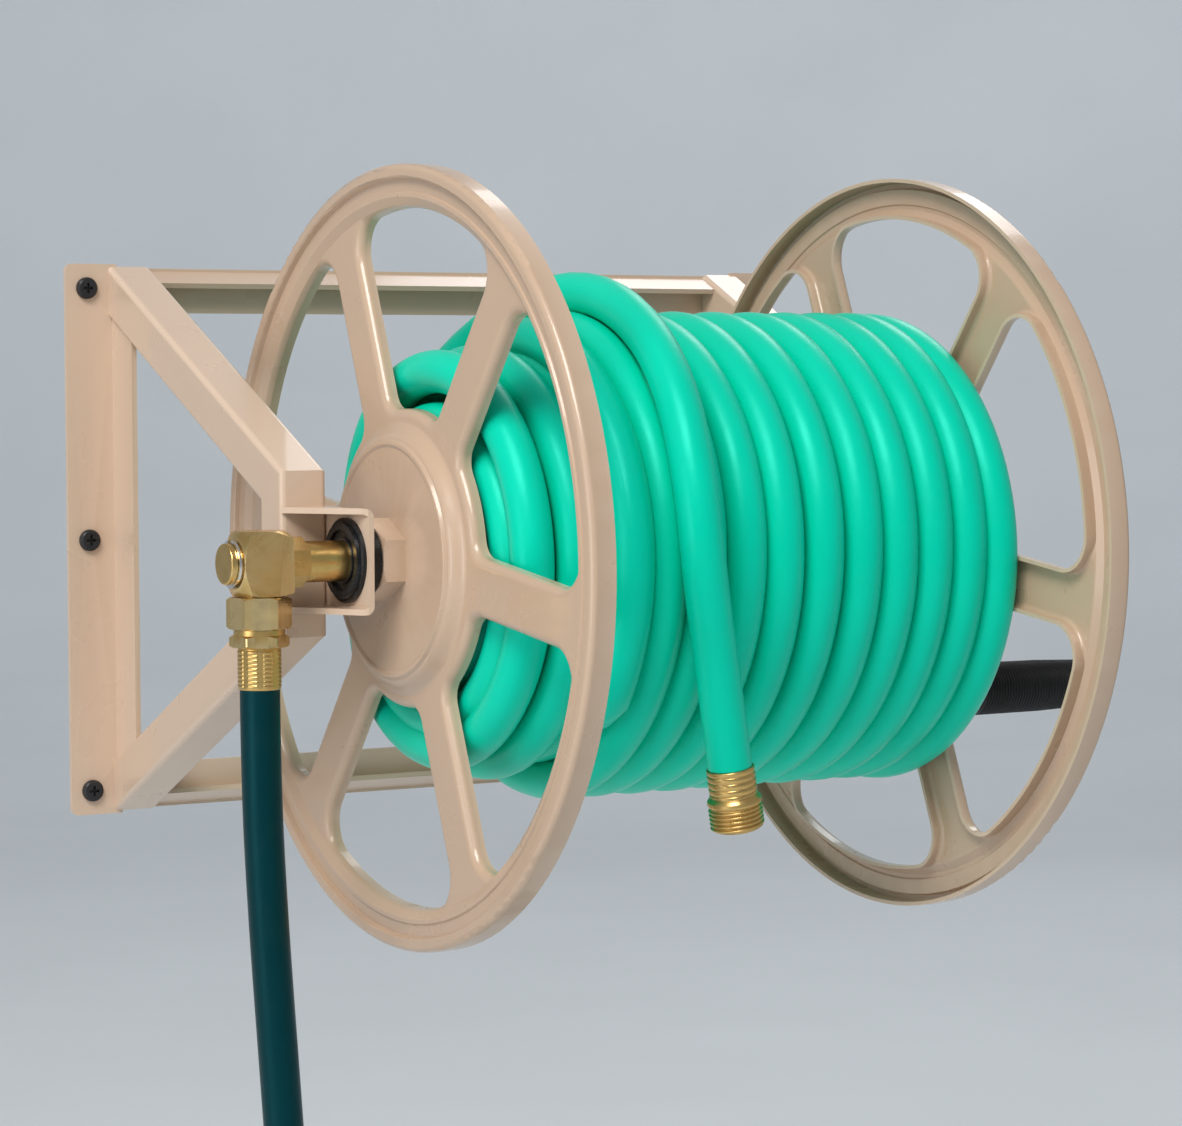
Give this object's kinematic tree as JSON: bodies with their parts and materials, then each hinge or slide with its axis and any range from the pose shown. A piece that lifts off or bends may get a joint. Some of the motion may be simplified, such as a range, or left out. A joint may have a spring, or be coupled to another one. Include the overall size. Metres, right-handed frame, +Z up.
{
  "type": "wall mounted garden hose reel",
  "caption": "Wall-mounted garden hose reel: two spoked wheels on a drum, bracket frame, crank, brass swivel inlet, wound hose and leader hose.",
  "frame": {"origin": "centre of the pattern of wall screws, on the wall's surface", "axes": "+X along the reel's axle to the crank's side, +Y into the wall, +Z up"},
  "size_m": [0.5565, 0.4628, 0.7646],
  "materials": {
    "tan_powder_coat": "satin powder coat",
    "black_nylon": "semi-gloss moulded",
    "grip_rubber": "ribbed, matt",
    "black_screws": "black coated",
    "zinc_steel": "zinc plated",
    "bright_ring": "bright spring steel",
    "brass": "machined, lightly dulled",
    "green_hose": "smooth vinyl with a soft sheen",
    "leader_hose": "dark green, satin",
    "black_tie": "woven strap"
  },
  "bodies": {
    "frame": {"left_wall_plate": "tan_powder_coat", "right_wall_plate": "tan_powder_coat", "left_upper_arm": "tan_powder_coat", "right_upper_arm": "tan_powder_coat", "left_lower_arm": "tan_powder_coat", "right_lower_arm": "tan_powder_coat", "left_post": "tan_powder_coat", "right_post": "tan_powder_coat", "left_axle_bracket": "tan_powder_coat", "right_axle_bracket": "tan_powder_coat", "left_bushing": "black_nylon", "right_bushing": "black_nylon", "left_thrust_washer": "black_nylon", "right_thrust_washer": "black_nylon", "top_bar": "tan_powder_coat", "bottom_bar": "tan_powder_coat", "wall_screws": "black_screws"},
    "reel": {"left_wheel": "tan_powder_coat", "right_wheel": "tan_powder_coat", "left_hub_fitting": "tan_powder_coat", "right_hub_fitting": "tan_powder_coat", "left_lock_nut": "zinc_steel", "right_lock_nut": "zinc_steel", "drum_tube": "tan_powder_coat", "crank_arm": "tan_powder_coat", "crank_bolt": "zinc_steel", "crank_nut": "zinc_steel", "swivel_stem": "brass", "snap_ring": "bright_ring", "outlet_elbow": "brass", "hose_inner_coupling": "brass", "axle_stub": "zinc_steel", "axle_washer": "zinc_steel", "axle_ring": "zinc_steel", "garden_hose_coil": "green_hose", "garden_hose_start": "green_hose", "garden_hose_end": "green_hose", "hose_ferrule": "brass", "hose_coupling": "brass"},
    "grip": {"crank_grip": "grip_rubber"},
    "inlet": {"elbow_body": "brass", "leader_tailpiece": "brass", "leader_ferrule": "brass", "leader_hose": "leader_hose", "leader_hose_coil": "leader_hose", "leader_hose_tail": "leader_hose", "coil_tie": "black_tie", "tap_ferrule": "brass", "tap_fitting": "brass"},
    "inlet_nut": {"swivel_nut": "brass"},
    "leader_nut": {"tap_nut": "brass"}
  },
  "joints": [
    {"name": "reel_spin", "type": "hinge", "parent": "frame", "child": "reel", "pos_m": [0, -0.245, -0.0027], "axis": [1, 0, 0], "continuous": true},
    {"name": "grip_spin", "type": "hinge", "parent": "reel", "child": "grip", "pos_m": [0.26, -0.22299, -0.08811], "axis": [1, 0, 0], "continuous": true},
    {"name": "inlet_swing", "type": "hinge", "parent": "frame", "child": "inlet", "pos_m": [-0.2305, -0.245, -0.0027], "axis": [1, 0, 0], "range_deg": [-60, 12]},
    {"name": "inlet_nut_spin", "type": "hinge", "parent": "inlet", "child": "inlet_nut", "pos_m": [-0.2305, -0.245, -0.027], "axis": [0, 0, 1], "continuous": true},
    {"name": "tap_nut_spin", "type": "hinge", "parent": "inlet", "child": "leader_nut", "pos_m": [0.0597, -0.2347, -0.45973], "axis": [0.766, 0, 0.6428], "continuous": true}
  ]
}
